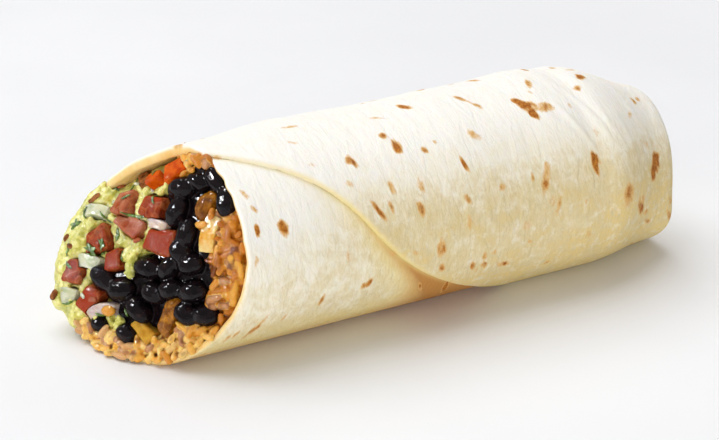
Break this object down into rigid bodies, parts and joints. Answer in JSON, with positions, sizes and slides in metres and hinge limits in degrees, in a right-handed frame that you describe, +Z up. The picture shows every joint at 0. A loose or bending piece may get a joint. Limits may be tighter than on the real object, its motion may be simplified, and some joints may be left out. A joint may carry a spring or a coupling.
{
  "type": "burrito",
  "caption": "Flour tortilla rolled round rice, black beans, guacamole and diced salsa, open at one slanted end and folded shut at the other, lying on its side.",
  "frame": {"origin": "under the middle of the roll, on the surface that it lies on", "axes": "+X along the roll to the folded shut end, with the open mouth at -X; +Y away from the side that shows the outer flap's edge; +Z up"},
  "size_m": [0.2047, 0.0681, 0.0645],
  "materials": {
    "tortilla": "soft baked flour tortilla, pale cream with browned blisters",
    "rice": "moist cooked rice, coloured orange by tomato and spice",
    "black_beans": "wet glossy bean skins",
    "guacamole": "mashed avocado, moist and lumpy",
    "tomato": "wet diced tomato flesh",
    "pepper": "wet diced red pepper",
    "onion": "translucent raw onion, some tinged lilac",
    "stewed_pepper": "soft pepper strips glazed with brown sauce",
    "cilantro": "chopped green leaf"
  },
  "bodies": {
    "root": {"tortilla": "tortilla", "cilantro_1": "cilantro", "cilantro_2": "cilantro", "cilantro_3": "cilantro", "onion_1": "onion", "onion_2": "onion", "onion_3": "onion", "onion_4": "onion", "onion_5": "onion", "onion_6": "onion", "tomato_1": "tomato", "tomato_2": "tomato", "tomato_3": "tomato", "tomato_4": "tomato", "tomato_5": "tomato", "tomato_6": "tomato", "tomato_7": "tomato", "tomato_8": "tomato", "tomato_9": "tomato", "pepper_1": "pepper", "pepper_2": "pepper", "pepper_3": "pepper", "stewed_pepper_1": "stewed_pepper", "stewed_pepper_2": "stewed_pepper", "black_beans": "black_beans", "guacamole": "guacamole", "rice": "rice"}
  },
  "joints": []
}
